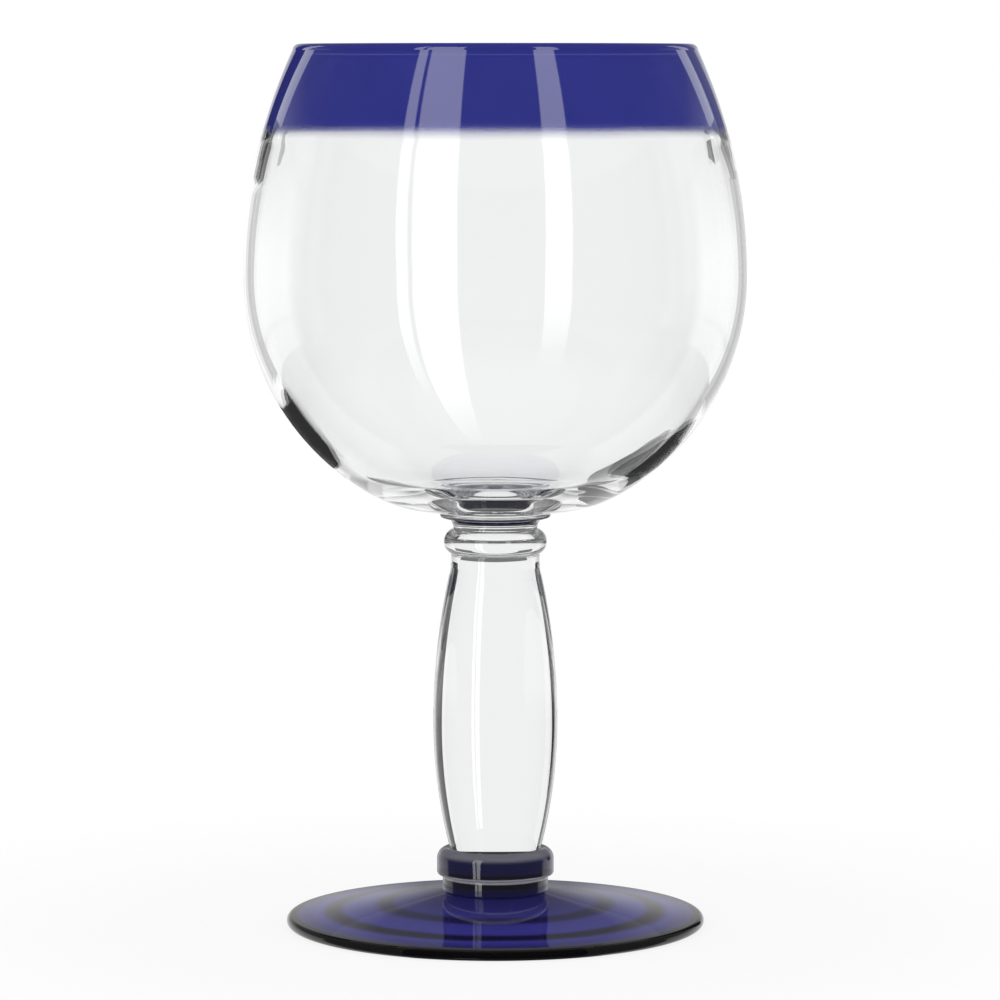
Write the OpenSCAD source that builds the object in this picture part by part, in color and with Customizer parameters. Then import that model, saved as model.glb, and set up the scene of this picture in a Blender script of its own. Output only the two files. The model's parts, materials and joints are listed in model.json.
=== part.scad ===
// Margarita glass: a round blown bowl with a cobalt rim band, on a solid
// baluster stem and a cobalt foot. Eight pieces of glass, fused hot one on
// top of the other. Every piece is turned about the Z axis.
// Millimetres, +Z up, origin at the centre of the foot's resting plane.

/* [Bowl] */
// Widest outside diameter of the bowl
bowl_d = 113.6; // [100:0.2:130]
// Outside diameter of the bowl at the rim
rim_d = 89.8; // [76:0.2:98]
// Height from the widest point up to the rim
bowl_upper_h = 52.4; // [42:0.2:64]
// Height from the bowl's flat seat up to its widest point
bowl_lower_h = 53.0; // [46:0.2:62]
// Round between the bowl's side and its flat seat
bowl_corner_r = 32.0; // [24:0.2:36]
// Thickness of the blown wall
wall_t = 3.0; // [2:0.1:4]
// Thickness of the glass at the bottom of the bowl
floor_t = 5.0; // [4:0.1:8]
// How much thicker than the wall the fire-polished lip is
lip_bead = 0.2; // [0.1:0.05:0.6]

/* [Rim band] */
// Height of the cobalt band, from the rim down to its feather edge
band_h = 21.0; // [12:0.1:26]
// Height over which the band thins out to nothing
band_fade_h = 4.0; // [2:0.1:7]
// Thickness of the cobalt layer on the outside of the wall
band_t = 0.7; // [0.4:0.05:1.2]

/* [Neck] */
// Diameter of the button under the bowl
merese_d = 25.2; // [22:0.2:32]
// Height of the button
merese_h = 3.8; // [3:0.1:6]
// Thickness of the button's round edge
merese_edge_h = 1.5; // [0.8:0.1:2]
// Hollow round between the button's edge and the neck under it
merese_cove_r = 2.0; // [1:0.1:2.2]
// Diameter of the neck between the button and the knop
neck_d = 19.2; // [17:0.2:21]
// Diameter of the knop's bead
knop_d = 23.4; // [21:0.2:28]
// Height of the knop
knop_h = 6.2; // [4:0.1:8]

/* [Stem] */
// Diameter of the stem just under the knop
stem_top_d = 20.2; // [17:0.2:24]
// Largest diameter of the stem
stem_belly_d = 28.2; // [25:0.2:36]
// Diameter of the stem where it stands on the collar
stem_bottom_d = 20.8; // [17:0.2:22]
// Height of the straight stretch under the knop
stem_neck_h = 2.8; // [1:0.1:8]
// Height from the stem's belly up to the straight stretch
stem_upper_h = 34.8; // [24:0.2:50]
// Height from the collar up to the stem's belly
stem_lower_h = 29.3; // [20:0.2:44]

/* [Foot] */
// Diameter of the cobalt collar under the stem
collar_d = 26.6; // [25.6:0.2:32]
// Height of the collar
collar_h = 6.1; // [4.5:0.1:9]
// Round on the collar's upper edge
collar_round_r = 2.4; // [0.8:0.1:2.8]
// Diameter of the cobalt wafer under the collar
wafer_d = 24.0; // [20:0.2:28]
// Height of the wafer
wafer_h = 4.0; // [2.5:0.1:7]
// Small round on the edges of the wafer and under the collar
ring_edge_r = 0.6; // [0.2:0.1:0.9]
// Diameter of the foot
foot_d = 95.2; // [80:0.2:110]
// Height of the foot where the wafer stands on it
foot_h = 7.6; // [5:0.1:11]
// Thickness of the foot's round edge
foot_edge_h = 2.4; // [1.6:0.1:3.6]
// How far the top of the foot is hollowed below a straight cone
foot_sweep = 0.7; // [0.2:0.1:1.2]
// Width of the flat ring on which the foot rests
rest_ring_w = 6.4; // [3:0.1:12]
// Height of the shallow kick inside the resting ring
foot_kick_h = 1.6; // [0.6:0.1:2.4]

/* [Hidden] */
$fn = 256;
clear_glass = [0.90, 0.93, 0.94, 0.4];
cobalt_glass = [0.13, 0.15, 0.50, 0.9];

// Levels, stacked from the resting plane up
wafer_z = foot_h;
collar_z = wafer_z + wafer_h;
stem_z = collar_z + collar_h;
stem_belly_z = stem_z + stem_lower_h;
stem_neck_z = stem_belly_z + stem_upper_h;
knop_z = stem_neck_z + stem_neck_h;
merese_z = knop_z + knop_h;
seat_z = merese_z + merese_h;
floor_z = seat_z + floor_t;
belly_z = seat_z + bowl_lower_h;
rim_z = belly_z + bowl_upper_h;

// Two arcs that would only touch are given this lap, so that they cross
lap = 0.01;
function lap_down(v) = floor(v / lap) * lap - lap;
function lap_up(v) = ceil(v / lap) * lap + lap;
// Radius of the arc that starts upright and moves in by step over height
function arc_r(height, step) = round((height * height + step * step) / (2 * step) / lap) * lap;
// Radius of the side arc that runs from an upright belly into a corner round
function side_r(width, height, corner) =
    (width * width + height * height - 2 * height * corner) / (2 * (width - corner));
// How far a corner's centre lies from its side arc's centre, along the radius
function corner_reach(side, height, corner) =
    sqrt(pow(side - corner, 2) - pow(height - corner, 2));
// Point at a distance and an angle from a centre
function polar(centre, r, angle) = centre + r * [cos(angle), sin(angle)];

// Bowl: outer and inner arcs share their centres, so the wall is even
belly_r = bowl_d / 2;
seat_r = merese_d / 2;
upper_r = arc_r(bowl_upper_h, (bowl_d - rim_d) / 2);
lower_r = lap_down(side_r(belly_r - seat_r, bowl_lower_h, bowl_corner_r));
inner_corner_r = bowl_corner_r - wall_t;
inner_seat_r = lap_up(belly_r - lower_r
    + corner_reach(lower_r - wall_t, bowl_lower_h - floor_t, inner_corner_r));

// Lip: a bead on the middle of the wall, its top at the rim
upper_centre = [belly_r - upper_r, belly_z];
lip_r = (wall_t + lip_bead) / 2;
mid_wall_r = upper_r - wall_t / 2;
lip_angle = asin((bowl_upper_h - lip_r) / mid_wall_r);

// Overrun of a cutting shape past what it cuts
cut = 2 * rim_z;

// Rectangle from the axis out to a radius, between two levels
module slab(r, low, high) {
    translate([0, low])
        square([r, high - low]);
}

// Half outline that is upright at a belly and curves in towards one side
module bulge_half(radius, belly, level, low, high) {
    intersection() {
        translate([belly - radius, level])
            circle(r = radius);
        slab(belly, low, high);
    }
}

// Half outline of the bowl's body, filled from the axis
module bowl_half(belly, upper, lower, corner, seat, seat_level, top_level) {
    corner_level = seat_level + corner;
    tangent_level = belly_z - lower * (belly_z - corner_level) / (lower - corner);
    bulge_half(upper, belly, belly_z, belly_z, top_level);
    intersection() {
        bulge_half(lower, belly, belly_z, seat_level, belly_z);
        union() {
            slab(belly, tangent_level, top_level);
            slab(seat, seat_level, top_level);
            translate([seat, corner_level])
                circle(r = corner);
        }
    }
}

// Everything above the lip's line, drawn from the upper arc's centre
module above_lip() {
    polygon([upper_centre, polar(upper_centre, cut, lip_angle), polar(upper_centre, cut, 90)]);
}

// Half section of the whole wall, with its round lip
module wall_half() {
    difference() {
        bowl_half(belly_r, upper_r, lower_r, bowl_corner_r, seat_r, seat_z, rim_z);
        bowl_half(belly_r - wall_t, upper_r - wall_t, lower_r - wall_t,
                  inner_corner_r, inner_seat_r, floor_z, rim_z + wall_t);
        above_lip();
    }
    translate(polar(upper_centre, mid_wall_r, lip_angle))
        circle(r = lip_r);
}

// Part of the section that is cobalt: a skin with a feather edge, and the lip
module band_region() {
    tip_angle = asin((bowl_upper_h - band_h) / upper_r);
    full_angle = asin((bowl_upper_h - band_h + band_fade_h) / upper_r);
    tip = polar(upper_centre, upper_r, tip_angle);
    along = polar(upper_centre, upper_r - band_t, full_angle) - tip;
    outward = [along[1], -along[0]];
    reach = ceil(band_h / band_fade_h) + 1;
    difference() {
        polygon([tip - along, tip + reach * along, tip + reach * (along + outward), tip + reach * outward - along]);
        translate(upper_centre)
            circle(r = upper_r - band_t);
    }
    above_lip();
}

// Half section of a turned ring with a round on each outer edge
module ring_half(d, low, high, low_round, high_round) {
    r = d / 2;
    slab(r, low + low_round, high - high_round);
    slab(r - low_round, low, high - high_round);
    slab(r - high_round, low + low_round, high);
    translate([r - low_round, low + low_round])
        circle(r = low_round);
    translate([r - high_round, high - high_round])
        circle(r = high_round);
}

// Clear bowl, without the cobalt layer that is sunk flush in its outside
module bowl() {
    color(clear_glass)
        rotate_extrude()
            difference() {
                wall_half();
                band_region();
            }
}

// Cobalt layer round the rim, over the lip and down to a feather edge
module rim_band() {
    color(cobalt_glass)
        rotate_extrude()
            intersection() {
                wall_half();
                band_region();
            }
}

// Button that carries the bowl: a round-edged disc on a hollow cove
module bowl_merese() {
    neck_r = neck_d / 2;
    edge_r = merese_edge_h / 2;
    edge_z = seat_z - merese_edge_h;
    color(clear_glass)
        rotate_extrude() {
            slab(neck_r, merese_z, seat_z);
            slab(seat_r - edge_r, edge_z, seat_z);
            translate([seat_r - edge_r, edge_z + edge_r])
                circle(r = edge_r);
            difference() {
                slab(neck_r + merese_cove_r, edge_z - merese_cove_r, edge_z + edge_r);
                translate([neck_r + merese_cove_r, edge_z - merese_cove_r])
                    circle(r = merese_cove_r);
            }
        }
}

// Knop: a bead round the neck
module neck_knop() {
    bead_r = knop_h / 2;
    color(clear_glass)
        rotate_extrude() {
            slab(neck_d / 2, knop_z, merese_z);
            translate([knop_d / 2 - bead_r, knop_z + bead_r])
                circle(r = bead_r);
        }
}

// Solid stem: two long arcs that meet upright at the belly, and a straight neck
module baluster_stem() {
    belly = stem_belly_d / 2;
    color(clear_glass)
        rotate_extrude() {
            bulge_half(arc_r(stem_lower_h, (stem_belly_d - stem_bottom_d) / 2),
                       belly, stem_belly_z, stem_z, stem_belly_z);
            bulge_half(arc_r(stem_upper_h, (stem_belly_d - stem_top_d) / 2),
                       belly, stem_belly_z, stem_belly_z, knop_z);
            slab(stem_top_d / 2, stem_belly_z, knop_z);
        }
}

// Cobalt collar with a well rounded shoulder, on which the stem stands
module foot_collar() {
    color(cobalt_glass)
        rotate_extrude()
            ring_half(collar_d, collar_z, stem_z, ring_edge_r, collar_round_r);
}

// Cobalt wafer between the collar and the foot
module foot_wafer() {
    color(cobalt_glass)
        rotate_extrude()
            ring_half(wafer_d, wafer_z, collar_z, ring_edge_r, ring_edge_r);
}

// Foot: a disc with a swept top, a round edge and a shallow kick under it
module foot() {
    edge_r = foot_edge_h / 2;
    rim_r = foot_d / 2 - edge_r;
    rest_r = rim_r - rest_ring_w;
    rim = [rim_r, foot_edge_h - lap];
    hub = [wafer_d / 2, foot_h];
    slope = rim - hub;
    sweep_r = arc_r(norm(slope) / 2, foot_sweep);
    sweep_centre = (rim + hub) / 2 + (sweep_r - foot_sweep) * [-slope[1], slope[0]] / norm(slope);
    color(cobalt_glass)
        rotate_extrude() {
            difference() {
                slab(rim_r, 0, foot_h);
                translate(sweep_centre)
                    circle(r = sweep_r);
                polygon([[0, foot_kick_h], [2 * rest_r, -foot_kick_h], [0, -foot_kick_h]]);
            }
            translate([rim_r, edge_r])
                circle(r = edge_r);
        }
}

foot();
foot_wafer();
foot_collar();
baluster_stem();
neck_knop();
bowl_merese();
bowl();
rim_band();
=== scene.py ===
# %% [markdown]
# # A margarita glass in clear and cobalt glass
#
# The real object is one blown drinking glass: a round clear bowl with a cobalt band at its rim, a clear
# baluster stem, and a cobalt foot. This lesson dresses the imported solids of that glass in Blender. We load
# the solids as a fixed frame, set up the camera and a small studio, mix the glass, and then turn each
# piece from its half outline, as on a lathe. Lengths of the glass are written in millimetres, because a
# maker would measure it so, and the meshes are in metres.

# %% Load the frame
import json
import math

import bmesh
import bpy
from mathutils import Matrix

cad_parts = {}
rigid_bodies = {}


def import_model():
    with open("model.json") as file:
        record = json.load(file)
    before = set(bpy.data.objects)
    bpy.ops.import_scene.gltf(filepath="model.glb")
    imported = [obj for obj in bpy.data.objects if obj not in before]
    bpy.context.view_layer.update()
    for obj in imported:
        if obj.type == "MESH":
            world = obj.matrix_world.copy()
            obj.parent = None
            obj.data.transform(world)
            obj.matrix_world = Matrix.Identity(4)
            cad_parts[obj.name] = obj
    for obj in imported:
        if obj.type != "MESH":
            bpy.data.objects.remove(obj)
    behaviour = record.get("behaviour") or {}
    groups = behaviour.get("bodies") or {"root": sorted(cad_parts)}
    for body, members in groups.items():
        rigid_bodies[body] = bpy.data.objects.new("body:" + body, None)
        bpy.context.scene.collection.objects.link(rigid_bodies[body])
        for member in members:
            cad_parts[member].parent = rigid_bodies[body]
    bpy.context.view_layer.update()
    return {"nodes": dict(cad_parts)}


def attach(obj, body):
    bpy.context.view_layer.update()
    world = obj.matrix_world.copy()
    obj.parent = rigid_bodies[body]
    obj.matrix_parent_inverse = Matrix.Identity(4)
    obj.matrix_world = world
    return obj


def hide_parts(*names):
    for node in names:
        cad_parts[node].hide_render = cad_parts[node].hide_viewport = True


for leftover in list(bpy.data.objects):
    bpy.data.objects.remove(leftover)

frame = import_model()
scene = bpy.context.scene
MM = 0.001
print("pieces in the frame:", ", ".join(sorted(frame["nodes"])))

# %% [markdown]
# ## Camera
#
# The photograph was taken from far away with a long lens, level with the rim: the lip hides the mouth of
# the bowl, while the top of the foot lies well in view. Distance, height and lens were fitted to the
# outline, to the lip and to the foot's back edge, with the image taken as 1000 by 1000 pixels. The glass
# stands slightly left of the middle, which a small step of the camera to the right gives without any lens
# shift.

# %% Camera
CAMERA_STEP = 1.06
CAMERA_DISTANCE = 1090.7
CAMERA_HEIGHT = 196.0
CAMERA_PITCH = 5.183
CAMERA_LENS = 174.04

camera_data = bpy.data.cameras.new("photo_camera")
camera_data.sensor_width = 36.0
camera_data.lens = CAMERA_LENS
camera = bpy.data.objects.new("photo_camera", camera_data)
camera.location = (CAMERA_STEP * MM, -CAMERA_DISTANCE * MM, CAMERA_HEIGHT * MM)
camera.rotation_euler = (math.radians(90 - CAMERA_PITCH), 0, 0)
scene.collection.objects.link(camera)
scene.camera = camera
scene.view_settings.view_transform = "Standard"
scene.cycles.max_bounces = 40
scene.cycles.glossy_bounces = 32
scene.cycles.transmission_bounces = 32
scene.cycles.transparent_max_bounces = 32
print("camera at", [round(v, 4) for v in camera.location])

# %% [markdown]
# ## Two small helpers for node trees
#
# A material, a node group and the world are all node trees. One helper adds a node and fills its plain
# sockets, and takes the sockets that feed it as ordinary arguments. That keeps every recipe below as
# short as the list of ingredients that it is.

# %% Node helpers
WHITE = (1.0, 1.0, 1.0, 1.0)


def add(tree, kind, feeds=None, **settings):
    """Adds a node, sets its properties, and fills each input with a number, a colour or another socket."""
    node = tree.nodes.new("ShaderNode" + kind)
    for name, value in settings.items():
        setattr(node, name, value)
    for key, value in (feeds or {}).items():
        if isinstance(value, bpy.types.NodeSocket):
            tree.links.new(value, node.inputs[key])
        else:
            node.inputs[key].default_value = value
    return node


def math_of(tree, operation, *values):
    """One Math node: the values are numbers or sockets."""
    return add(tree, "Math", dict(enumerate(values)), operation=operation).outputs[0]


def smooth_step(tree, value, start, end, low=0.0, high=1.0, kind="SMOOTHSTEP"):
    """Goes softly from low to high while the value goes from start to end."""
    feeds = {"Value": value, "From Min": start, "From Max": end, "To Min": low, "To Max": high}
    return add(tree, "MapRange", feeds, interpolation_type=kind).outputs["Result"]


def empty_tree(owner):
    """Clears the node tree of a material or a world and gives it back."""
    owner.use_nodes = True
    owner.node_tree.nodes.clear()
    return owner.node_tree


# %% [markdown]
# ## The studio
#
# Clear glass has no colour of its own, so what it shows is the studio round it. Ours has a white
# backdrop, a dark ceiling, soft boxes beside the camera, which make the long bright reflections, and dark
# cards near the glass, which draw its edges. The world holds backdrop and soft boxes as masks over
# direction: each soft box has a left and a right edge, a lower end and the blur of that end, in degrees.
# Rays that go straight through the glass see white, rays that glance off it see the darker room with its
# soft boxes, and every other surface is lit evenly.

# %% Direction in the room
world = bpy.data.worlds.new("studio")
scene.world = world
room = empty_tree(world)
heading = add(room, "SeparateXYZ", {0: add(room, "TexCoord").outputs["Generated"]}).outputs


def bearing(across, ahead):
    """Angle in degrees of a direction, seen from above, from straight ahead to the right."""
    return math_of(room, "DEGREES", math_of(room, "ARCTAN2", across, ahead))


azimuth = bearing(heading["X"], heading["Y"])
elevation = math_of(room, "DEGREES", math_of(room, "ARCSINE", heading["Z"]))


def product(*masks):
    """Multiplies masks with each other."""
    result = masks[0]
    for mask in masks[1:]:
        result = math_of(room, "MULTIPLY", result, mask)
    return result


def between(value, low, high, low_blur, high_blur):
    """Soft mask of a value that lies between two limits."""
    return product(
        smooth_step(room, value, low - low_blur, low + low_blur),
        smooth_step(room, value, high - high_blur, high + high_blur, 1.0, 0.0))


# %% What glancing rays see
ROOM_GREY = 0.17
BACKDROP_SIDE = 72
BACKDROP_TOP = 19
SOFT_BOX = 3.8
BOX_LEAN = 0.18
BOX_TOP = 52
SOFT_BOXES = (
    (-37.4, -16.8, -60, 24),
    (-45, -39.5, -36, 20),
    (22.3, 34.6, -24, 20),
)

behind = math_of(room, "MULTIPLY", heading["Y"], -1.0)
leaning = math_of(room, "MULTIPLY_ADD", math_of(room, "MAXIMUM", heading["Z"], 0.0), BOX_LEAN, behind)
box_azimuth = bearing(heading["X"], leaning)
fade_up = smooth_step(room, elevation, 0, BACKDROP_TOP, 1.0, 0.0, "LINEAR")
ahead = between(azimuth, -BACKDROP_SIDE, BACKDROP_SIDE, 3, 3)
wall = product(ahead, between(elevation, -12, 90, 2, 1))
table = product(ahead, between(elevation, -60, -10, 4, 3))
backdrop = product(math_of(room, "MAXIMUM", wall, table), fade_up)
glance = math_of(room, "MULTIPLY_ADD", backdrop, 1.0 - ROOM_GREY, ROOM_GREY)
ray = add(room, "LightPath")
outer_face = math_of(room, "LESS_THAN", ray.outputs["Transmission Depth"], 0.5)
for left, right, low, low_blur in SOFT_BOXES:
    soft_box = product(
        outer_face,
        between(box_azimuth, left, right, 0.5, 0.5),
        between(elevation, low, BOX_TOP, low_blur, 2))
    glance = math_of(room, "MULTIPLY_ADD", soft_box, SOFT_BOX, glance)
print("soft boxes:", len(SOFT_BOXES))

# %% The world
PLAIN_LIGHT = 0.9
level = add(room, "Mix", {0: ray.outputs["Is Glossy Ray"], 2: PLAIN_LIGHT, 3: glance}).outputs[0]


def straight_ray(tree, ray):
    """Mask of rays that went through glass without a single reflection on the way."""
    unbent = math_of(tree, "LESS_THAN", ray.outputs["Glossy Depth"], 0.5)
    return math_of(tree, "MULTIPLY", unbent, ray.outputs["Is Transmission Ray"])


white_ray = math_of(room, "MAXIMUM", straight_ray(room, ray), ray.outputs["Is Camera Ray"])
level = add(room, "Mix", {0: white_ray, 2: level, 3: 1.0}).outputs[0]
glow = add(room, "Background", {"Color": WHITE, "Strength": level})
add(room, "OutputWorld", {"Surface": glow.outputs[0]})
print("studio nodes:", len(room.nodes))

# %% [markdown]
# ## Dark cards
#
# A photographer of glass stands dark cards round it, just out of the picture: the rims of clear glass bend
# the view outwards, so a card beside the backdrop turns into a dark line along the edge. Each card here is
# a strip bent round the glass, given by its lower and upper height at a few bearings. The camera itself
# does not see them.
#
# A card only has to shade one part of the glass, so its material asks the ray what it has crossed. Rays
# straight through the solid stem have crossed two faces, rays straight through the bowl four, and rays off
# an outer face none. Rays bent by a reflection draw the edges. A card can also fade out with its bearing.

# %% Dark cards
CARD_RADIUS = 100.0
NECK_REACH = 91.5


def card_material(name, tone, shades, fade=None):
    """A flat tone for the rays that it shades. A fade is two bearings and the share at the first one."""
    material = bpy.data.materials.new(name)
    tree = empty_tree(material)
    ray = add(tree, "LightPath")
    faces = ray.outputs["Transmission Depth"]
    straight = straight_ray(tree, ray)
    bent = math_of(tree, "SUBTRACT", 1.0, straight)
    few_faces = math_of(tree, "LESS_THAN", faces, 2.5)
    inside = math_of(tree, "GREATER_THAN", faces, 0.5)
    stem_ray = math_of(tree, "MULTIPLY", straight, few_faces)
    if shades == "stem":
        seen = stem_ray
    elif shades == "neck line":
        long_way = math_of(tree, "GREATER_THAN", ray.outputs["Ray Length"], NECK_REACH * MM)
        seen = math_of(tree, "MULTIPLY", stem_ray, long_way)
    elif shades == "bowl":
        seen = math_of(tree, "SUBTRACT", inside, stem_ray)
    elif shades == "bowl floor":
        seen = math_of(tree, "SUBTRACT", straight, stem_ray)
    elif shades == "neck":
        seen = math_of(tree, "MULTIPLY", bent, math_of(tree, "MULTIPLY", few_faces, inside))
    elif shades == "faces":
        seen = math_of(tree, "SUBTRACT", 1.0, inside)
    else:
        seen = bent
    if fade:
        spot = add(tree, "SeparateXYZ", {0: add(tree, "TexCoord").outputs["Object"]}).outputs
        turn = math_of(tree, "ABSOLUTE", math_of(tree, "ARCTAN2", spot["X"], spot["Y"]))
        near, far, most = math.radians(fade[0]), math.radians(fade[1]), fade[2]
        share = smooth_step(tree, turn, near, far, most, 0.0, "LINEAR")
        seen = math_of(tree, "MULTIPLY", seen, share)
    felt = add(tree, "Emission", {"Color": WHITE, "Strength": tone})
    clear = add(tree, "BsdfTransparent")
    mixed = add(tree, "MixShader", {0: seen, 1: clear.outputs[0], 2: felt.outputs[0]})
    add(tree, "OutputMaterial", {"Surface": mixed.outputs[0]})
    return material


def card(name, material, radius, stations):
    """A strip about the axis: each station is a bearing in degrees and two heights in mm."""
    columns = []
    for (start, low, high), (end, next_low, next_high) in zip(stations, stations[1:]):
        count = max(1, math.ceil((end - start) / 3))
        for step in range(count):
            share = step / count
            columns.append((
                start + (end - start) * share,
                low + (next_low - low) * share,
                high + (next_high - high) * share))
    columns.append(stations[-1])
    corners = []
    for turn, low, high in columns:
        across, ahead = math.sin(math.radians(turn)), math.cos(math.radians(turn))
        corners += [(radius * MM * across, radius * MM * ahead, height * MM) for height in (low, high)]
    quads = [(2 * i, 2 * i + 2, 2 * i + 3, 2 * i + 1) for i in range(len(columns) - 1)]
    mesh = bpy.data.meshes.new(name)
    mesh.from_pydata(corners, [], quads)
    mesh.materials.append(material)
    strip = bpy.data.objects.new(name, mesh)
    strip.visible_camera = False
    strip.visible_diffuse = False
    strip.visible_shadow = False
    scene.collection.objects.link(strip)


# %% Card materials
BLACK = card_material("bowl_card", 0.05, "bowl")
DUSKY = card_material("dusky_bowl_card", 0.3, "bowl")
FLOOR_LINE = card_material("bowl_floor_card", 0.1, "bowl floor")
STEM_BLACK = card_material("stem_card", 0.03, "stem", fade=(56, 72, 1.0))
NECK_GREY = card_material("grey_neck_card", 0.2, "neck line")
NECK = card_material("neck_card", 0.03, "neck")
EDGE = card_material("edge_card", 0.03, "edges")
DUSKY_EDGE = card_material("dusky_edge_card", 0.22, "edges")
GREY_EDGE = card_material("grey_edge_card", 0.5, "edges")
FLAG = card_material("flag", ROOM_GREY, "edges")
FOOT_FLAG = card_material("foot_flag", 0.03, "faces")
FOOT_SHADE = card_material("foot_shade", 0.15, "faces", fade=(10, 30, 0.88))
RIM_LIGHT = card_material("rim_light", 1.6, "faces")
print("last card material:", RIM_LIGHT.name)

# %% Place the cards
CARD_STEP = 0.4
STEM_FLAG_RADIUS, FOOT_FLAG_RADIUS = 45, 48.8
CARDS = {
    "low_left_edge": (EDGE, (
        (-68, 82, 96), (-62, 66, 99), (-56, 60, 99), (-50, 60, 98), (-44, 62, 101), (-38, 68, 107),
        (-32, 80, 114), (-26, 92, 116), (-21, 100, 110))),
    "low_right": (BLACK, (
        (12, 58, 61), (16, 57, 70), (20, 57, 78), (25, 57, 86), (30, 57, 91), (35, 60, 92), (38, 70, 90))),
    "low_right_edge": (EDGE, (
        (30, 60, 84), (36, 52, 86), (41, 42, 89), (45, 28, 90), (50, 8, 90), (55, 4, 82), (60, 10, 66),
        (63, 24, 56))),
    "bowl_floor": (FLOOR_LINE, ((-7, 52, 56), (7, 52, 56))),
    "neck": (NECK, ((-40, 6, 42), (-20, 8, 46), (15, 8, 46), (35, 6, 42))),
    "neck_line": (NECK_GREY, ((-30, 73, 90), (35, 73, 90))),
    "stem_left": (STEM_BLACK, ((-68, 20, 72), (-49.5, 20, 72))),
    "stem_right": (STEM_BLACK, ((42, 20, 72), (68, 20, 72))),
    "rim_left": (DUSKY, ((-43, 174.5, 178), (-41, 174.5, 190), (-39.5, 178, 192))),
    "rim_right": (BLACK, ((40.5, 176.5, 192), (44.5, 175.5, 192))),
    "rim_right_glint": (EDGE, ((71, 184, 196), (78, 184, 197))),
    "rim_left_edge": (EDGE, ((-62, 175, 232), (-56, 172, 232), (-47, 172, 232))),
    "rim_right_edge": (DUSKY_EDGE, ((46.5, 173, 190), (50, 172, 232), (56, 174, 232), (61, 187, 232))),
    "rim_left_light": (RIM_LIGHT, ((-72, 196, 250), (-62, 196, 250))),
    "rim_right_light": (RIM_LIGHT, ((62, 196, 250), (72, 196, 250))),
    "belly_left_edge": (GREY_EDGE, ((-62, 104, 175), (-51, 104, 168))),
    "belly_right_edge": (GREY_EDGE, ((42, 96, 173), (59, 92, 175))),
    "foot_shade": (FOOT_SHADE, ((-30, -8, 36), (30, -8, 36))),
}
for step, (name, (material, stations)) in enumerate(CARDS.items()):
    card(name + "_card", material, CARD_RADIUS + CARD_STEP * step, stations)
card("stem_flag", FLAG, STEM_FLAG_RADIUS, ((148, -5, 93), (205, -5, 93)))
card("foot_flag", FOOT_FLAG, FOOT_FLAG_RADIUS, ((154, -2, 8.2), (206, -2, 8.2)))
print("cards:", len(CARDS) + 2)

# %% [markdown]
# ## The floor
#
# The photograph is cut out on white, so the floor is a plain pale disc that melts into the white
# background at its edge. It keeps a faint shadow near the foot. Rays straight through the glass see it
# white, rays that bounced inside the glass see its far part dimmed, and plain reflections do not see it.

# %% Floor
FLOOR_RADIUS = 0.42
FLOOR_TONE = (0.82, 0.82, 0.82, 1.0)
SHADOW_START, SHADOW_END = 0.05, 0.2
SHADOW_WHITE = 0.85
ECHO_START, ECHO_END = 0.15, 0.3
FLOOR_ECHO = 0.4

floor_mesh = bpy.data.meshes.new("pale_floor")
builder = bmesh.new()
bmesh.ops.create_circle(builder, cap_ends=True, segments=128, radius=FLOOR_RADIUS)
builder.to_mesh(floor_mesh)
builder.free()
floor = bpy.data.objects.new("pale_floor", floor_mesh)
floor.location.z = -0.1 * MM
floor.visible_glossy = False
scene.collection.objects.link(floor)

paper = bpy.data.materials.new("pale_paper")
tree = empty_tree(paper)
place = add(tree, "TexCoord").outputs["Object"]
reach = add(tree, "VectorMath", {0: place}, operation="LENGTH").outputs["Value"]
whiteness = smooth_step(tree, reach, SHADOW_START, SHADOW_END, SHADOW_WHITE, 1.0)
ray = add(tree, "LightPath")
seen = math_of(tree, "MAXIMUM", ray.outputs["Is Camera Ray"], ray.outputs["Is Glossy Ray"])
seen = math_of(tree, "MAXIMUM", seen, ray.outputs["Is Transmission Ray"])
matt = add(tree, "BsdfDiffuse", {"Color": FLOOR_TONE})
bounced = math_of(tree, "GREATER_THAN", ray.outputs["Glossy Depth"], 0.5)
echo = smooth_step(tree, reach, ECHO_START, ECHO_END, 0.0, FLOOR_ECHO - 1.0)
glow = math_of(tree, "MULTIPLY_ADD", bounced, echo, 1.0)
white = add(tree, "Emission", {"Color": WHITE, "Strength": glow})
share = math_of(tree, "MULTIPLY", seen, whiteness)
mixed = add(tree, "MixShader", {0: share, 1: matt.outputs[0], 2: white.outputs[0]})
add(tree, "OutputMaterial", {"Surface": mixed.outputs[0]})
floor_mesh.materials.append(paper)
print("floor radius in m:", FLOOR_RADIUS)

# %% [markdown]
# ## The glass
#
# Blown glass is never quite even: the surface has long, very shallow waves from turning and cooling, and
# a little orange peel. Both glasses and the band share that, so it is one node group. It puts out a
# height for a bump, and a roughness that is almost nothing.

# %% Blown surface
blown = bpy.data.node_groups.new("blown_surface", "ShaderNodeTree")
for socket, default in (("Wave size", 0.03), ("Peel size", 0.004), ("Peel share", 0.05), ("Haze", 0.01)):
    setting = blown.interface.new_socket(socket, in_out="INPUT", socket_type="NodeSocketFloat")
    setting.default_value = default
for socket in ("Height", "Roughness"):
    blown.interface.new_socket(socket, in_out="OUTPUT", socket_type="NodeSocketFloat")
asked = blown.nodes.new("NodeGroupInput")
place = add(blown, "TexCoord").outputs["Object"]
wave_scale = math_of(blown, "DIVIDE", 1.0, asked.outputs["Wave size"])
peel_scale = math_of(blown, "DIVIDE", 1.0, asked.outputs["Peel size"])
wave = add(blown, "TexNoise", {"Vector": place, "Scale": wave_scale, "Detail": 1.0}).outputs[0]
peel = add(blown, "TexNoise", {"Vector": place, "Scale": peel_scale, "Detail": 0.0}).outputs[0]
given = blown.nodes.new("NodeGroupOutput")
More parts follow.
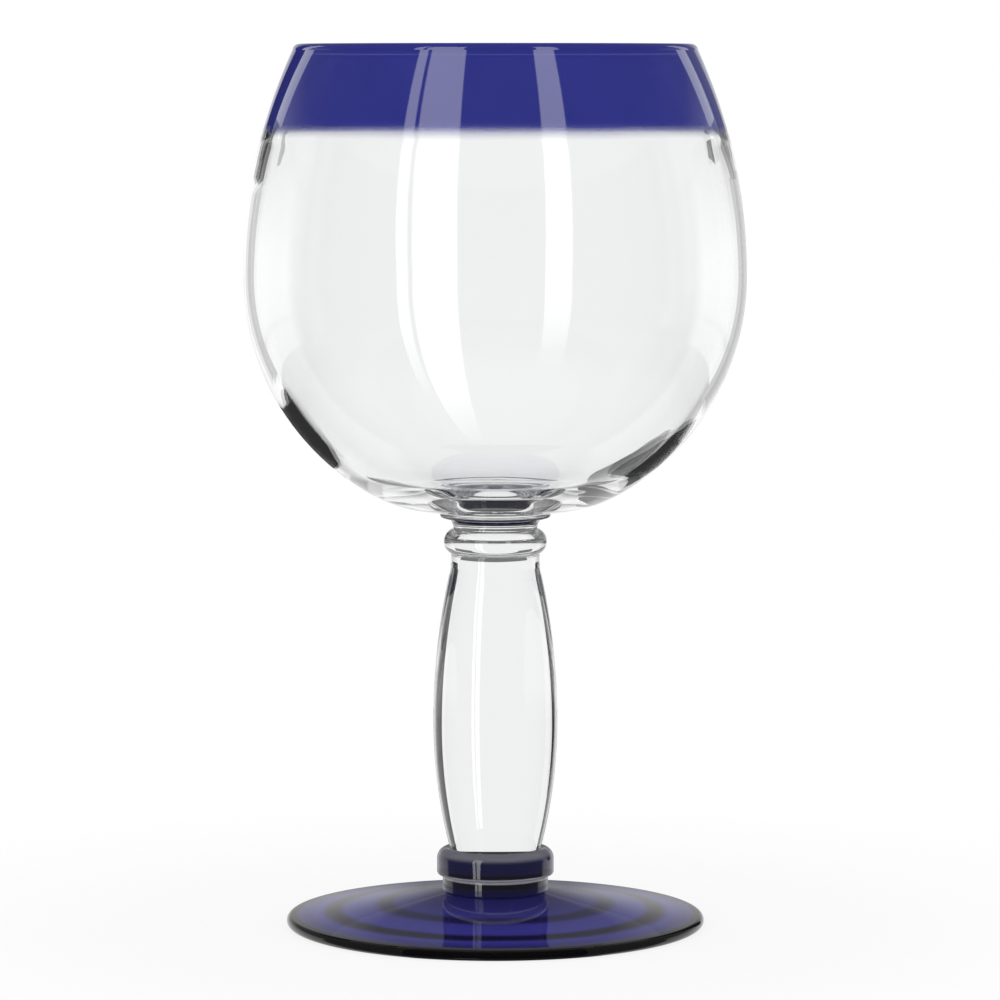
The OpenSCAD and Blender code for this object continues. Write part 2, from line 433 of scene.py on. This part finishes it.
relief = math_of(blown, "MULTIPLY_ADD", peel, asked.outputs["Peel share"], wave)
haze = math_of(blown, "MULTIPLY", peel, asked.outputs["Haze"])
blown.links.new(relief, given.inputs["Height"])
blown.links.new(haze, given.inputs["Roughness"])
print("blown surface nodes:", len(blown.nodes))

# %% Glass recipes
GLASS_IOR = 1.5
CLEAR_WAVE, COBALT_WAVE = 30, 24
WAVE_DEPTH = 0.05


def blown_material(name, wave_mm, depth_mm, haze=0.0, **sockets):
    """A Principled material on the blown surface. Gives back material, tree, shader and output node."""
    material = bpy.data.materials.new(name)
    tree = empty_tree(material)
    surface = tree.nodes.new("ShaderNodeGroup")
    surface.node_tree = blown
    surface.inputs["Wave size"].default_value = wave_mm * MM
    surface.inputs["Haze"].default_value = haze
    bump = add(tree, "Bump", {
        "Height": surface.outputs["Height"],
        "Strength": 1.0,
        "Distance": depth_mm * MM,
    })
    shader = add(tree, "BsdfPrincipled", {
        "Roughness": surface.outputs["Roughness"],
        "Normal": bump.outputs[0],
    })
    for key, value in sockets.items():
        shader.inputs[key.replace("_", " ")].default_value = value
    output = add(tree, "OutputMaterial", {"Surface": shader.outputs[0]})
    return material, tree, shader, output


THIN_TINT = (0.99, 0.995, 0.995, 1.0)
SOLID_TINT = (0.93, 0.935, 0.935, 1.0)
clear_glass = blown_material(
    "clear_glass", CLEAR_WAVE, WAVE_DEPTH, Base_Color=THIN_TINT, Transmission_Weight=1.0, IOR=GLASS_IOR)[0]
solid_glass = blown_material(
    "solid_glass", CLEAR_WAVE, WAVE_DEPTH, Base_Color=SOLID_TINT, Transmission_Weight=1.0, IOR=GLASS_IOR)[0]
print("mixed", clear_glass.name, "and", solid_glass.name)

# %% [markdown]
# The cobalt of the foot is dyed through and blown thin. It looks deep blue where the foot is thin, and
# nearly black at the rolled edge and in the thick hub. Light is painted over that: two rings of painted
# shade across the foot, painted shade in the grooves above and below the joint of collar and wafer, a
# painted highlight line along that joint, and a painted pale reflection on the collar's shoulder. All of
# that hangs on the place in the glass, so the colour is mixed from the radius and the height.

# %% Cobalt glass
# Two rings of painted shade on the foot: radius, half width and how deep the shade goes.
PAINTED_SHADE_RINGS = ((25.2, 2.3, 0.74), (36.9, 2.4, 0.92))
ROLLED_EDGE = 45.2
HUB_START = 8.0
# A painted highlight line where collar and wafer meet: its height and half width.
HIGHLIGHT_LINE_HEIGHT, HIGHLIGHT_LINE_HALF = 11.5, 0.8
# Painted shade in the grooves by the collar's joint: height, and the inner and outer half width.
SHADED_GROOVES = ((10.3, 0.5, 1.0), (12.5, 0.3, 0.7))
# A painted pale reflection on the collar's rounded shoulder: the height where it starts and its share.
SHOULDER_SHEEN_LEVEL, SHOULDER_SHEEN_SHARE = 15.6, 0.6
HUB_SHADE, GROOVE_SHADE = 0.18, 0.15
# The blue of thick glass, which the painted shade uses too.
THICK_AND_SHADED_BLUE = (0.006, 0.005, 0.006, 1.0)
THIN_BLUE = (0.075, 0.068, 0.46, 1.0)
# The near-white colour of the painted highlight line.
HIGHLIGHT_LINE_TINT = (0.95, 0.95, 1.0, 1.0)
# The grey of the painted reflection on the shoulder.
SHOULDER_SHEEN_TINT = (0.45, 0.45, 0.5, 1.0)
DYE = (0.03, 0.02, 0.5, 1.0)
DYE_DENSITY = 300.0

cobalt_glass, tree, shader, output = blown_material(
    "cobalt_glass", COBALT_WAVE, WAVE_DEPTH, Transmission_Weight=0.4, IOR=GLASS_IOR)
axes = add(tree, "SeparateXYZ", {0: add(tree, "TexCoord").outputs["Object"]}).outputs
flat = add(tree, "CombineXYZ", {0: axes["X"], 1: axes["Y"]}).outputs[0]
metres = add(tree, "VectorMath", {0: flat}, operation="LENGTH").outputs["Value"]
radius = math_of(tree, "DIVIDE", metres, MM)
level = math_of(tree, "DIVIDE", axes["Z"], MM)
cloud = add(tree, "TexNoise", {"Vector": flat, "Scale": 45.0, "Detail": 2.0}).outputs[0]
wandering = math_of(tree, "MULTIPLY_ADD", math_of(tree, "SUBTRACT", cloud, 0.5), 1.6, radius)
# Share of the thin blue: lower where the glass is thick and where shade is painted.
thin_unshaded = smooth_step(tree, radius, 12, 32, 0.45, 1.0)
thin_unshaded = math_of(tree, "MULTIPLY", thin_unshaded, smooth_step(tree, radius, 40, 44, 1.0, 0.55))
# Paint the shade rings, each with a wandering edge.
for ring, half, depth in PAINTED_SHADE_RINGS:
    away = math_of(tree, "ABSOLUTE", math_of(tree, "SUBTRACT", wandering, ring))
    ring_shade = smooth_step(tree, away, 0.3 * half, 1.4 * half, 1.0 - depth, 1.0)
    thin_unshaded = math_of(tree, "MULTIPLY", thin_unshaded, ring_shade)
edge_shade = smooth_step(tree, radius, ROLLED_EDGE - 0.6, ROLLED_EDGE + 0.4, 1.0, 0.0)
thin_unshaded = math_of(tree, "MULTIPLY", thin_unshaded, edge_shade)
hub = smooth_step(tree, level, HUB_START - 0.4, HUB_START + 0.4)
hub_shade = HUB_SHADE
# Paint shade into the grooves of the hub.
for groove, inner, outer in SHADED_GROOVES:
    away = math_of(tree, "ABSOLUTE", math_of(tree, "SUBTRACT", level, groove))
    groove_shade = smooth_step(tree, away, inner, outer, GROOVE_SHADE, 1.0)
    hub_shade = math_of(tree, "MULTIPLY", groove_shade, hub_shade)
thin_unshaded = add(tree, "Mix", {0: hub, 2: thin_unshaded, 3: hub_shade}).outputs[0]
blue = add(tree, "Mix", {0: thin_unshaded, 6: THICK_AND_SHADED_BLUE, 7: THIN_BLUE}, data_type="RGBA")
# Paint the highlight line over the blue.
highlight_line_away = math_of(tree, "ABSOLUTE", math_of(tree, "SUBTRACT", level, HIGHLIGHT_LINE_HEIGHT))
highlight_line = smooth_step(tree, highlight_line_away, 0.5 * HIGHLIGHT_LINE_HALF, HIGHLIGHT_LINE_HALF, 1.0, 0.0)
dyed_and_painted = add(tree, "Mix", {0: highlight_line, 6: blue.outputs[2], 7: HIGHLIGHT_LINE_TINT}, data_type="RGBA")
# Paint the pale reflection on the shoulder.
shoulder_sheen = smooth_step(tree, level, SHOULDER_SHEEN_LEVEL, SHOULDER_SHEEN_LEVEL + 1.2, 0.0, SHOULDER_SHEEN_SHARE)
dyed_and_painted = add(tree, "Mix", {0: shoulder_sheen, 6: dyed_and_painted.outputs[2], 7: SHOULDER_SHEEN_TINT}, data_type="RGBA")
tree.links.new(dyed_and_painted.outputs[2], shader.inputs["Base Color"])
dye = add(tree, "VolumeAbsorption", {"Color": DYE, "Density": DYE_DENSITY})
tree.links.new(dye.outputs[0], output.inputs["Volume"])
print("mixed", cobalt_glass.name)

# %% [markdown]
# Where two pieces of glass are fused, light passes as if no face were there, so those faces are quite
# clear. The band at the rim is a thin cobalt skin under a gloss coat, and its lower edge wavers a little
# while it fades out.

# %% Fused faces
fused_face = bpy.data.materials.new("fused_face")
tree = empty_tree(fused_face)
shader = add(tree, "BsdfPrincipled", {"Base Color": WHITE, "Alpha": 0.0})
add(tree, "OutputMaterial", {"Surface": shader.outputs[0]})
print("mixed", fused_face.name)

# %% Rim band
BAND_TIP, BAND_FULL = 179.0, 183.0
BAND_WAVER = 1.0
DARK_SKIN = (0.026, 0.030, 0.25, 1.0)
LIGHT_SKIN = (0.034, 0.040, 0.31, 1.0)

rim_cobalt, tree, shader, output = blown_material(
    "rim_cobalt", COBALT_WAVE, WAVE_DEPTH, Transmission_Weight=0.2, IOR=1.0,
    Coat_Weight=1.0, Coat_Roughness=0.0, Coat_IOR=GLASS_IOR)
place = add(tree, "TexCoord").outputs["Object"]
cloud = add(tree, "TexNoise", {"Vector": place, "Scale": 60.0, "Detail": 2.0}).outputs[0]
tint = add(tree, "Mix", {0: cloud, 6: DARK_SKIN, 7: LIGHT_SKIN}, data_type="RGBA")
tree.links.new(tint.outputs[2], shader.inputs["Base Color"])
height = add(tree, "SeparateXYZ", {0: place}).outputs["Z"]
waver = add(tree, "TexNoise", {"Vector": place, "Scale": 35.0, "Detail": 1.0}).outputs[0]
swing = math_of(tree, "SUBTRACT", waver, 0.5)
edge_height = math_of(tree, "MULTIPLY_ADD", swing, BAND_WAVER * MM, height)
cover = smooth_step(tree, edge_height, BAND_TIP * MM, (BAND_FULL - 0.2) * MM)
tree.links.new(cover, shader.inputs["Alpha"])
print("mixed", rim_cobalt.name)

# %% [markdown]
# ## Turning a piece
#
# Every piece is round, so each is a half outline swept once about the upright axis. A modifier could do
# that, but a few lines of mesh code give full control over which stretch of the outline is open glass and
# which is a face fused to its neighbour. The outline runs from the bottom of the axis out, up, and back.

# %% Lathe
TURNS = 256


def arc(centre, radius, start, end, step=2.5):
    """Points of an arc about a centre, between two angles in degrees from the outward direction."""
    count = max(2, math.ceil(abs(end - start) / step))
    angles = [math.radians(start + (end - start) * i / count) for i in range(count + 1)]
    return [(centre[0] + radius * math.cos(a), centre[1] + radius * math.sin(a)) for a in angles]


def turned(name, runs, materials, closed=False):
    """Sweeps runs of (points in mm, material index) about the axis and rides the piece on the root."""
    points, finishes = [], []
    for run, finish in runs:
        for point in run:
            if points and math.dist(points[-1], point) < 1e-4:
                continue
            if points:
                finishes.append(finish)
            points.append(point)
    if closed:
        finishes.append(runs[-1][1])
    builder = bmesh.new()
    rings = []
    for radius, height in points:
        if radius < 1e-6:
            rings.append([builder.verts.new((0.0, 0.0, height * MM))] * TURNS)
            continue
        rings.append([
            builder.verts.new((
                radius * MM * math.cos(math.tau * turn / TURNS),
                radius * MM * math.sin(math.tau * turn / TURNS),
                height * MM))
            for turn in range(TURNS)])
    for index, finish in enumerate(finishes):
        low, high = rings[index], rings[(index + 1) % len(rings)]
        for turn in range(TURNS):
            after = (turn + 1) % TURNS
            corners = list(dict.fromkeys((low[turn], low[after], high[after], high[turn])))
            face = builder.faces.new(corners)
            face.material_index = finish
            face.smooth = True
    mesh = bpy.data.meshes.new(name)
    builder.to_mesh(mesh)
    builder.free()
    mesh.set_sharp_from_angle(angle=math.radians(32))
    for material in materials:
        mesh.materials.append(material)
    piece = bpy.data.objects.new(name, mesh)
    scene.collection.objects.link(piece)
    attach(piece, "root")
    print(name, "has", len(mesh.polygons), "faces")
    return piece


OPEN, FUSED = 0, 1

# %% [markdown]
# ## Bowl
#
# The bowl is blown in one bubble: its outside runs from a flat seat through a round corner and a nearly
# round side to a narrower rim, and the inside follows at an even wall. The lip is fire polished, a bead a
# hair thicker than the wall.

# %% Bowl outline
SEAT, FLOOR, BELLY, RIM = 94.6, 99.6, 147.6, 200.0
BELLY_RADIUS = 56.8
SEAT_RADIUS = 12.6
WALL = 3.0
CORNER = 32.0
LIP = 1.6
UPPER = 121.32
upper_centre = (BELLY_RADIUS - UPPER, BELLY)
run = BELLY_RADIUS - SEAT_RADIUS
rise = BELLY - SEAT
SIDE = (run * run + rise * rise - 2 * rise * CORNER) / (2 * (run - CORNER))
side_centre = (BELLY_RADIUS - SIDE, BELLY)
corner_centre = (SEAT_RADIUS, SEAT + CORNER)
corner_angle = math.degrees(math.atan2(corner_centre[1] - BELLY, corner_centre[0] - side_centre[0]))
inner_corner = CORNER - WALL
inner_drop = BELLY - FLOOR - inner_corner
inner_seat = side_centre[0] + math.sqrt((SIDE - WALL - inner_corner) ** 2 - inner_drop ** 2)
inner_centre = (inner_seat, FLOOR + inner_corner)
inner_angle = math.degrees(math.atan2(-inner_drop, inner_seat - side_centre[0]))
lip_angle = math.degrees(math.asin((RIM - LIP - BELLY) / (UPPER - WALL / 2)))
lip_turn = math.degrees(math.acos(WALL / 2 / LIP))
lip_drop = math.degrees(math.sqrt(LIP ** 2 - (WALL / 2) ** 2) / UPPER)
lip_centre = arc(upper_centre, UPPER - WALL / 2, lip_angle, lip_angle)[0]
print("lip centre", [round(v, 2) for v in lip_centre], "side radius", round(SIDE, 2))

# %% Bowl
BUTTON_WELD = 11.85
HAIR = 0.03
tip_angle = math.degrees(math.asin((BAND_TIP - BELLY) / UPPER))
bowl_outside = (
    arc(corner_centre, CORNER, -90, corner_angle)
    + arc(side_centre, SIDE, corner_angle, 0)
    + arc(upper_centre, UPPER, 0, tip_angle, 1)
    + arc(upper_centre, UPPER - HAIR, tip_angle + 0.1, lip_angle - lip_drop, 1)
)
bowl_lip = arc(lip_centre, LIP - HAIR, lip_angle - lip_turn, lip_angle + 180 + lip_turn, 10)
bowl_inside = (
    arc(upper_centre, UPPER - WALL, lip_angle - lip_drop, 0, 1)
    + arc(side_centre, SIDE - WALL, 0, inner_angle)
    + arc(inner_centre, inner_corner, inner_angle, -90)
    + [(0, FLOOR)]
)
bowl = turned("blown_bowl", [
    ([(0, SEAT), (BUTTON_WELD, SEAT)], FUSED),
    ([(SEAT_RADIUS, SEAT)] + bowl_outside + bowl_lip + bowl_inside, OPEN),
], [clear_glass, fused_face])
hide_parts("bowl")

# %% [markdown]
# ## Button, knop and stem
#
# Under the bowl comes a button with a hollow cove, then a bead that runs round the neck, then the solid
# stem, thickest a little below its middle.

# %% Button
BUTTON, KNOP, STEM, COLLAR, WAFER = 90.8, 84.6, 17.7, 11.6, 7.6
NECK_RADIUS = 9.6
COVE = 2.0
BUTTON_EDGE = 0.75
button = turned("bowl_button", [
    ([(0, BUTTON), (NECK_RADIUS, BUTTON)], FUSED),
    ([(NECK_RADIUS, BUTTON + 0.3)]
     + arc((NECK_RADIUS + COVE, SEAT - 2 * BUTTON_EDGE - COVE), COVE, 180, 90, 6)
     + arc((SEAT_RADIUS - BUTTON_EDGE, SEAT - BUTTON_EDGE), BUTTON_EDGE, -90, 90, 10), OPEN),
    ([(0, SEAT)], FUSED),
], [solid_glass, fused_face])
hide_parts("bowl_merese")

# %% Knop
BEAD = 3.1
BEAD_CENTRE = 8.6
bead_turn = math.degrees(math.acos((NECK_RADIUS - BEAD_CENTRE) / BEAD))
bead_centre = (BEAD_CENTRE, KNOP + BEAD)
knop = turned("neck_bead", [
    ([(0, KNOP), (NECK_RADIUS, KNOP)], FUSED),
    (arc(bead_centre, BEAD, -bead_turn, bead_turn, 5) + [(NECK_RADIUS, BUTTON)], OPEN),
    ([(0, BUTTON)], FUSED),
], [solid_glass, fused_face])
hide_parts("neck_knop")

# %% Stem
STEM_BELLY, STEM_NECK = 47.0, 81.8
STEM_RADIUS = 14.1
STEM_LOWER, STEM_UPPER = 117.86, 153.38
STEM_TOP = 10.1
lower_swing = math.degrees(math.asin((STEM_BELLY - STEM - HAIR) / STEM_LOWER))
upper_swing = math.degrees(math.asin((STEM_NECK - STEM_BELLY) / STEM_UPPER))
stem_outside = (
    arc((STEM_RADIUS - STEM_LOWER, STEM_BELLY), STEM_LOWER, -lower_swing, 0, 1)
    + arc((STEM_RADIUS - STEM_UPPER, STEM_BELLY), STEM_UPPER, 0, upper_swing, 1)
    + [(STEM_TOP, STEM_NECK + 0.1), (STEM_TOP, KNOP), (NECK_RADIUS, KNOP)]
)
stem = turned("baluster_stem_glass", [
    ([(0, STEM + HAIR)] + stem_outside, OPEN),
    ([(0, KNOP)], FUSED),
], [solid_glass, fused_face])
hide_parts("baluster_stem")

# %% [markdown]
# ## Cobalt foot
#
# The foot, the wafer and the collar are three gathers of the same cobalt glass. Once fused they are one
# body of dye, so they are turned as one closed piece: the dye then darkens with the thickness of the
# glass.

# %% Foot
FOOT_RIM, FOOT_EDGE = 46.4, 1.2
REST_RADIUS, KICK = 40.0, 1.6
WAFER_RADIUS, COLLAR_RADIUS = 12.0, 13.3
RING_EDGE, SHOULDER = 0.6, 2.4
SWEEP = 0.7
rim_point = (FOOT_RIM, 2 * FOOT_EDGE)
hub_point = (WAFER_RADIUS, WAFER)
span = math.dist(rim_point, hub_point)
sweep_radius = ((span / 2) ** 2 + SWEEP ** 2) / (2 * SWEEP)
slope = ((rim_point[0] - hub_point[0]) / span, (rim_point[1] - hub_point[1]) / span)
middle = ((rim_point[0] + hub_point[0]) / 2, (rim_point[1] + hub_point[1]) / 2)
sweep_centre = (
    middle[0] - slope[1] * (sweep_radius - SWEEP),
    middle[1] + slope[0] * (sweep_radius - SWEEP),
)
sweep_angles = [
    math.degrees(math.atan2(p[1] - sweep_centre[1], p[0] - sweep_centre[0]))
    for p in (rim_point, hub_point)]
wafer_outside = (
    arc((WAFER_RADIUS - RING_EDGE, WAFER + RING_EDGE), RING_EDGE, -60, 0, 15)
    + arc((WAFER_RADIUS - RING_EDGE, COLLAR - RING_EDGE), RING_EDGE, 0, 80, 15)
)
collar_outside = (
    arc((COLLAR_RADIUS - RING_EDGE, COLLAR + RING_EDGE), RING_EDGE, -90, 0, 15)
    + arc((COLLAR_RADIUS - SHOULDER, STEM - HAIR - SHOULDER), SHOULDER, 0, 90, 6)
)
foot = turned("cobalt_foot", [
    ([(0, KICK), (REST_RADIUS, 0), (FOOT_RIM, 0)], OPEN),
    (arc((FOOT_RIM, FOOT_EDGE), FOOT_EDGE, -90, 90, 8), OPEN),
    (arc(sweep_centre, sweep_radius, sweep_angles[0], sweep_angles[1], 0.5), OPEN),
    (wafer_outside + collar_outside + [(0, STEM - HAIR)], OPEN),
], [cobalt_glass])
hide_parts("foot", "foot_wafer", "foot_collar")

# %% [markdown]
# ## Rim band
#
# The band is a thin layer of cobalt flashed on the outside of the wall and over the lip, feathered out to
# nothing at its lower edge.

# %% Band
BAND_DEPTH = 0.7
full_angle = math.degrees(math.asin((BAND_FULL - BELLY) / UPPER))
band_outside = (
    arc(upper_centre, UPPER, tip_angle, lip_angle - lip_drop, 0.3)
    + arc(lip_centre, LIP, lip_angle - lip_turn, lip_angle + 180 + lip_turn, 8)
)
band_weld = [arc(upper_centre, UPPER - WALL, lip_angle, lip_angle)[0]]
band_weld += arc(upper_centre, UPPER - BAND_DEPTH, lip_angle, full_angle, 0.5)
band = turned("cobalt_rim_band", [
    (band_outside, OPEN),
    (band_weld, FUSED),
], [rim_cobalt, fused_face], closed=True)
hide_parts("rim_band")
